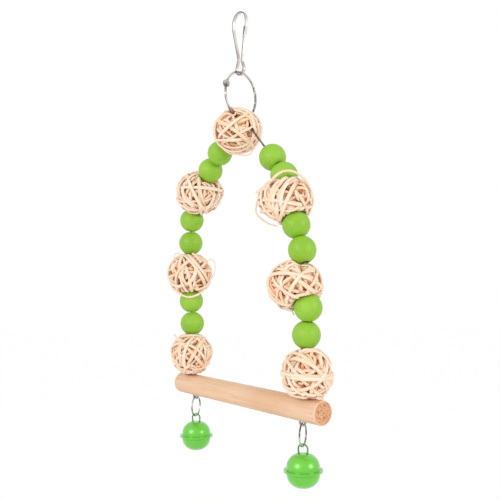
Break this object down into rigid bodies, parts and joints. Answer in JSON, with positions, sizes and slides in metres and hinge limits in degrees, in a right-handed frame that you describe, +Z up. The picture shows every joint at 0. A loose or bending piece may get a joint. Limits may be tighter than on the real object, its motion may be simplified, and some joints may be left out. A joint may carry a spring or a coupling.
{
  "type": "bird swing",
  "caption": "Hanging bird swing: a bent wire arch strung with painted wooden beads and wound rattan balls, with a round wooden perch and round bells below it.",
  "frame": {"origin": "inside of the snap hook's top bend, at the middle of the strip, where the swing hangs", "axes": "+X along the perch, towards the side of the hook's nose; +Y away from the front; +Z up"},
  "size_m": [0.1857, 0.0414, 0.3532],
  "materials": {
    "hook_nickel": "satin nickel plate",
    "ring_nickel": "bright nickel plate, lightly worn",
    "dark_wire": "dark drawn spring wire",
    "perch_wood": "bare sanded wood, rough sawn ends",
    "rattan": "peeled cane, unvarnished",
    "bead_paint": "turned wood under matte green paint",
    "link_nickel": "bright nickel plated wire",
    "bell_green": "glossy green lacquer on pressed sheet",
    "bell_loop_wire": "green lacquered wire",
    "pellet_steel": "bare tumbled ball"
  },
  "bodies": {
    "hook": {"snap_hook_body": "hook_nickel"},
    "gate": {"snap_hook_gate": "hook_nickel"},
    "ring_upper": {"ring_upper_half": "ring_nickel", "ring_rivet": "ring_nickel"},
    "ring_lower": {"ring_lower_half": "ring_nickel"},
    "arch": {"arch_wire": "dark_wire", "perch": "perch_wood", "ball_top": "rattan"},
    "bead_left_1": {"bead_left_1": "bead_paint"},
    "bead_left_2": {"bead_left_2": "bead_paint"},
    "bead_left_3": {"bead_left_3": "bead_paint"},
    "bead_left_4": {"bead_left_4": "bead_paint"},
    "bead_left_5": {"bead_left_5": "bead_paint"},
    "bead_left_6": {"bead_left_6": "bead_paint"},
    "ball_left_upper": {"ball_left_upper": "rattan"},
    "ball_left_middle": {"ball_left_middle": "rattan"},
    "ball_left_lower": {"ball_left_lower": "rattan"},
    "bead_right_1": {"bead_right_1": "bead_paint"},
    "bead_right_2": {"bead_right_2": "bead_paint"},
    "bead_right_3": {"bead_right_3": "bead_paint"},
    "bead_right_4": {"bead_right_4": "bead_paint"},
    "bead_right_5": {"bead_right_5": "bead_paint"},
    "bead_right_6": {"bead_right_6": "bead_paint"},
    "ball_right_upper": {"ball_right_upper": "rattan"},
    "ball_right_middle": {"ball_right_middle": "rattan"},
    "ball_right_lower": {"ball_right_lower": "rattan"},
    "link_left": {"link_left": "link_nickel"},
    "bell_left": {"bell_loop_left": "bell_loop_wire", "bell_upper_shell_left": "bell_green", "bell_lower_shell_left": "bell_green"},
    "pellet_left": {"bell_pellet_left": "pellet_steel"},
    "link_right": {"link_right": "link_nickel"},
    "bell_right": {"bell_loop_right": "bell_loop_wire", "bell_upper_shell_right": "bell_green", "bell_lower_shell_right": "bell_green"},
    "pellet_right": {"bell_pellet_right": "pellet_steel"}
  },
  "joints": [
    {"name": "gate_spring", "type": "hinge", "parent": "hook", "child": "gate", "pos_m": [0.00235, 0, -0.03805], "axis": [0, -1, 0], "range_deg": [0, 18], "stiffness_Nm_per_rad": 0.03},
    {"name": "ring_sway", "type": "hinge", "parent": "hook", "child": "ring_upper", "pos_m": [0, 0, -0.04865], "axis": [0.9703, 0.2419, 0], "range_deg": [-20, 20]},
    {"name": "ring_hinge", "type": "hinge", "parent": "ring_upper", "child": "ring_lower", "pos_m": [0.00409, -0.0164, -0.05831], "axis": [-0.9703, -0.2419, 0], "range_deg": [0, 50]},
    {"name": "arch_rock", "type": "hinge", "parent": "ring_lower", "child": "arch", "pos_m": [0, 0, -0.0829], "axis": [-0.2419, 0.9703, 0], "range_deg": [-12, 12]},
    {"name": "bead_left_1_spin", "type": "hinge", "parent": "arch", "child": "bead_left_1", "pos_m": [-0.02973, 0, -0.1061], "axis": [-0.749, 0, -0.6626], "continuous": true},
    {"name": "bead_left_2_spin", "type": "hinge", "parent": "arch", "child": "bead_left_2", "pos_m": [-0.04381, 0, -0.11856], "axis": [-0.749, 0, -0.6626], "continuous": true},
    {"name": "bead_left_3_spin", "type": "hinge", "parent": "arch", "child": "bead_left_3", "pos_m": [-0.07345, 0, -0.15808], "axis": [-0.2591, 0, -0.9659], "continuous": true},
    {"name": "bead_left_4_spin", "type": "hinge", "parent": "arch", "child": "bead_left_4", "pos_m": [-0.0755, 0, -0.17758], "axis": [0, 0, -1], "continuous": true},
    {"name": "bead_left_5_spin", "type": "hinge", "parent": "arch", "child": "bead_left_5", "pos_m": [-0.0755, 0, -0.22698], "axis": [0, 0, -1], "continuous": true},
    {"name": "bead_left_6_spin", "type": "hinge", "parent": "arch", "child": "bead_left_6", "pos_m": [-0.07432, 0, -0.24616], "axis": [0.1264, 0, -0.992], "continuous": true},
    {"name": "ball_left_upper_spin", "type": "hinge", "parent": "arch", "child": "ball_left_upper", "pos_m": [-0.05863, 0, -0.13832], "axis": [-0.6, 0, -0.8], "continuous": true},
    {"name": "ball_left_middle_spin", "type": "hinge", "parent": "arch", "child": "ball_left_middle", "pos_m": [-0.0755, 0, -0.20228], "axis": [0, 0, -1], "continuous": true},
    {"name": "ball_left_lower_spin", "type": "hinge", "parent": "arch", "child": "ball_left_lower", "pos_m": [-0.0712, 0, -0.27066], "axis": [0.1264, 0, -0.992], "continuous": true},
    {"name": "bead_right_1_spin", "type": "hinge", "parent": "arch", "child": "bead_right_1", "pos_m": [0.03915, 0, -0.11827], "axis": [0.7133, 0, -0.7009], "continuous": true},
    {"name": "bead_right_2_spin", "type": "hinge", "parent": "arch", "child": "bead_right_2", "pos_m": [0.0523, 0, -0.13305], "axis": [0.4764, 0, -0.8792], "continuous": true},
    {"name": "bead_right_3_spin", "type": "hinge", "parent": "arch", "child": "bead_right_3", "pos_m": [0.06522, 0, -0.16935], "axis": [0.3251, 0, -0.9457], "continuous": true},
    {"name": "bead_right_4_spin", "type": "hinge", "parent": "arch", "child": "bead_right_4", "pos_m": [0.07134, 0, -0.18716], "axis": [0.3159, 0, -0.9488], "continuous": true},
    {"name": "bead_right_5_spin", "type": "hinge", "parent": "arch", "child": "bead_right_5", "pos_m": [0.07684, 0, -0.2272], "axis": [-0.048, 0, -0.9988], "continuous": true},
    {"name": "bead_right_6_spin", "type": "hinge", "parent": "arch", "child": "bead_right_6", "pos_m": [0.07468, 0, -0.24615], "axis": [-0.1356, 0, -0.9908], "continuous": true},
    {"name": "ball_right_upper_spin", "type": "hinge", "parent": "arch", "child": "ball_right_upper", "pos_m": [0.05876, 0, -0.1512], "axis": [0.3351, 0, -0.9422], "continuous": true},
    {"name": "ball_right_middle_spin", "type": "hinge", "parent": "arch", "child": "ball_right_middle", "pos_m": [0.07409, 0, -0.20718], "axis": [0.1363, 0, -0.9907], "continuous": true},
    {"name": "ball_right_lower_spin", "type": "hinge", "parent": "arch", "child": "ball_right_lower", "pos_m": [0.07133, 0, -0.27062], "axis": [-0.1356, 0, -0.9908], "continuous": true},
    {"name": "link_left_sway", "type": "hinge", "parent": "arch", "child": "link_left", "pos_m": [-0.0695, 0, -0.30932], "axis": [0.8387, 0.5446, 0], "range_deg": [-15, 15]},
    {"name": "bell_left_swing", "type": "hinge", "parent": "link_left", "child": "bell_left", "pos_m": [-0.0695, 0, -0.32392], "axis": [-0.5446, 0.8387, 0], "range_deg": [-60, 60]},
    {"name": "pellet_left_roll", "type": "hinge", "parent": "bell_left", "child": "pellet_left", "pos_m": [-0.0695, 0, -0.34057], "axis": [-0.5446, 0.8387, 0], "range_deg": [-40, 40]},
    {"name": "link_right_sway", "type": "hinge", "parent": "arch", "child": "link_right", "pos_m": [0.0695, 0, -0.30932], "axis": [0.8387, 0.5446, 0], "range_deg": [-15, 15]},
    {"name": "bell_right_swing", "type": "hinge", "parent": "link_right", "child": "bell_right", "pos_m": [0.0695, 0, -0.32392], "axis": [-0.5446, 0.8387, 0], "range_deg": [-60, 60]},
    {"name": "pellet_right_roll", "type": "hinge", "parent": "bell_right", "child": "pellet_right", "pos_m": [0.0695, 0, -0.34057], "axis": [-0.5446, 0.8387, 0], "range_deg": [-40, 40]}
  ]
}
